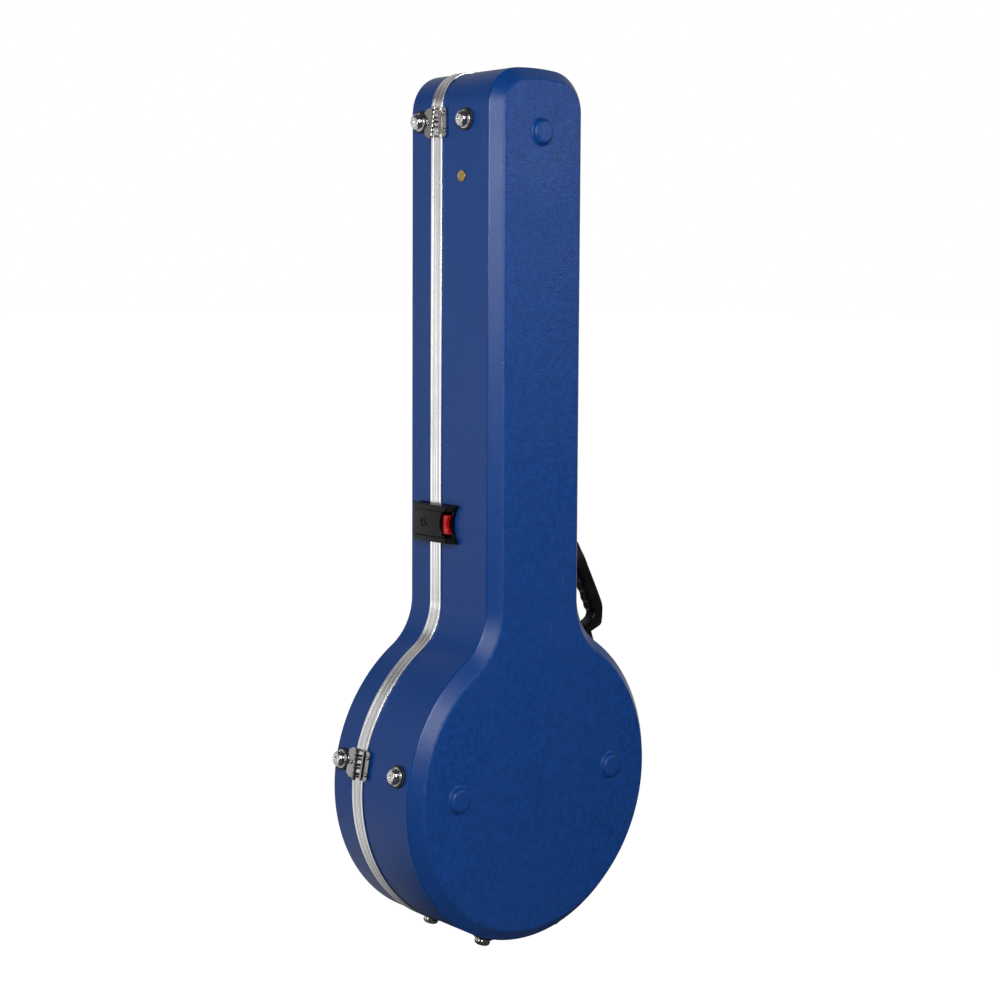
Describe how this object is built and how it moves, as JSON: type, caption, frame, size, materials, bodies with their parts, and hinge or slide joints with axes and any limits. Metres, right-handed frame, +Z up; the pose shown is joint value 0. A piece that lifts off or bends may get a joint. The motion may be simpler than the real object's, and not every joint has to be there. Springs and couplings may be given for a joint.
{
  "type": "banjo case",
  "caption": "Moulded hard case for a resonator banjo: deep back shell and hinged lid with metal edge strips, trigger latches, swinging handle, screwed feet and a fitted lining.",
  "frame": {"origin": "centre of the bounding box in plan, at the bottom of the end feet that the case stands on", "axes": "+Z up along the neck, +Y out of the deep back shell, +X towards the hinge side"},
  "size_m": [0.4088, 0.1774, 1.0559],
  "materials": {
    "blue_shell": "pebble-grained moulding",
    "edge_metal": "satin extrusion",
    "foot_chrome": "polished",
    "hinge_metal": "plated",
    "washer_rubber": "matt",
    "latch_plastic": "satin",
    "trigger_plastic": "satin gloss",
    "handle_plastic": "soft satin",
    "badge_metal": "satin",
    "lining": "short plush over foam",
    "tab_webbing": "woven"
  },
  "bodies": {
    "back": {"back_shell": "blue_shell", "back_valance": "edge_metal", "body_liner": "lining", "neck_liner": "lining", "neck_cradle": "lining", "badge_disc": "badge_metal", "hinge_upper_back_leaf": "hinge_metal", "hinge_upper_pin": "hinge_metal", "hinge_upper_back_rivets": "hinge_metal", "hinge_lower_back_leaf": "hinge_metal", "hinge_lower_pin": "hinge_metal", "hinge_lower_back_rivets": "hinge_metal", "handle_bracket_lower": "handle_plastic", "handle_bracket_upper": "handle_plastic", "latch_hinge_side_keeper": "latch_plastic", "latch_upper_keeper": "latch_plastic", "latch_middle_keeper": "latch_plastic", "latch_body_keeper": "latch_plastic", "washer_upper_back": "washer_rubber", "foot_upper_back": "foot_chrome", "washer_side_back": "washer_rubber", "foot_side_back": "foot_chrome", "washer_end_back_hinge_side": "washer_rubber", "foot_end_back_hinge_side": "foot_chrome", "washer_end_back_handle_side": "washer_rubber", "foot_end_back_handle_side": "foot_chrome"},
    "lid": {"lid_shell": "blue_shell", "lid_valance": "edge_metal", "lid_liner": "lining", "hinge_upper_lid_leaf": "hinge_metal", "hinge_upper_lid_rivet": "hinge_metal", "hinge_lower_lid_leaf": "hinge_metal", "hinge_lower_lid_rivet": "hinge_metal", "latch_hinge_side_base": "latch_plastic", "latch_hinge_side_pin": "hinge_metal", "latch_upper_base": "latch_plastic", "latch_upper_pin": "hinge_metal", "latch_middle_base": "latch_plastic", "latch_middle_pin": "hinge_metal", "latch_body_base": "latch_plastic", "latch_body_pin": "hinge_metal", "washer_upper_lid": "washer_rubber", "foot_upper_lid": "foot_chrome", "washer_side_lid": "washer_rubber", "foot_side_lid": "foot_chrome", "washer_end_lid_hinge_side": "washer_rubber", "foot_end_lid_hinge_side": "foot_chrome", "washer_end_lid_handle_side": "washer_rubber", "foot_end_lid_handle_side": "foot_chrome"},
    "handle": {"handle_grip": "handle_plastic"},
    "pocket_lid": {"compartment_lid": "lining", "pull_tab": "tab_webbing"},
    "lever_hinge_side": {"latch_hinge_side_lever": "latch_plastic"},
    "trigger_hinge_side": {"latch_hinge_side_trigger": "trigger_plastic"},
    "lever_upper": {"latch_upper_lever": "latch_plastic"},
    "trigger_upper": {"latch_upper_trigger": "trigger_plastic"},
    "lever_middle": {"latch_middle_lever": "latch_plastic"},
    "trigger_middle": {"latch_middle_trigger": "trigger_plastic"},
    "lever_body": {"latch_body_lever": "latch_plastic"},
    "trigger_body": {"latch_body_trigger": "trigger_plastic"}
  },
  "joints": [
    {"name": "lid_hinge", "type": "hinge", "parent": "back", "child": "lid", "pos_m": [0.08343, -0.02595, 0.99296], "axis": [-0.1506, 0, 0.9886], "range_deg": [0, 100]},
    {"name": "lever_hinge_side_pivot", "type": "hinge", "parent": "lid", "child": "lever_hinge_side", "pos_m": [0.08271, -0.05635, 0.51267], "axis": [0, 0, -1], "range_deg": [0, 70]},
    {"name": "lever_upper_pivot", "type": "hinge", "parent": "lid", "child": "lever_upper", "pos_m": [-0.07809, -0.05635, 0.90938], "axis": [0, 0, 1], "range_deg": [0, 70]},
    {"name": "lever_middle_pivot", "type": "hinge", "parent": "lid", "child": "lever_middle", "pos_m": [-0.07809, -0.05635, 0.60047], "axis": [0, 0, 1], "range_deg": [0, 70]},
    {"name": "lever_body_pivot", "type": "hinge", "parent": "lid", "child": "lever_body", "pos_m": [-0.1947, -0.05635, 0.22662], "axis": [0.1478, 0, 0.989], "range_deg": [0, 70]},
    {"name": "trigger_hinge_side_slide", "type": "slide", "parent": "back", "child": "trigger_hinge_side", "axis": [0, 1, 0], "range_m": [0, 0.003], "stiffness_N_per_m": 300},
    {"name": "trigger_upper_slide", "type": "slide", "parent": "back", "child": "trigger_upper", "axis": [0, 1, 0], "range_m": [0, 0.003], "stiffness_N_per_m": 300},
    {"name": "trigger_middle_slide", "type": "slide", "parent": "back", "child": "trigger_middle", "axis": [0, 1, 0], "range_m": [0, 0.003], "stiffness_N_per_m": 300},
    {"name": "trigger_body_slide", "type": "slide", "parent": "back", "child": "trigger_body", "axis": [0, 1, 0], "range_m": [0, 0.003], "stiffness_N_per_m": 300},
    {"name": "handle_pivot", "type": "hinge", "parent": "back", "child": "handle", "pos_m": [-0.10556, 0.02505, 0.41606], "axis": [-0.3532, 0, -0.9356], "range_deg": [-75, 75]},
    {"name": "pocket_lid_hinge", "type": "hinge", "parent": "back", "child": "pocket_lid", "pos_m": [0.00231, 0.01975, 0.59247], "axis": [-1, 0, 0], "range_deg": [0, 90]}
  ]
}
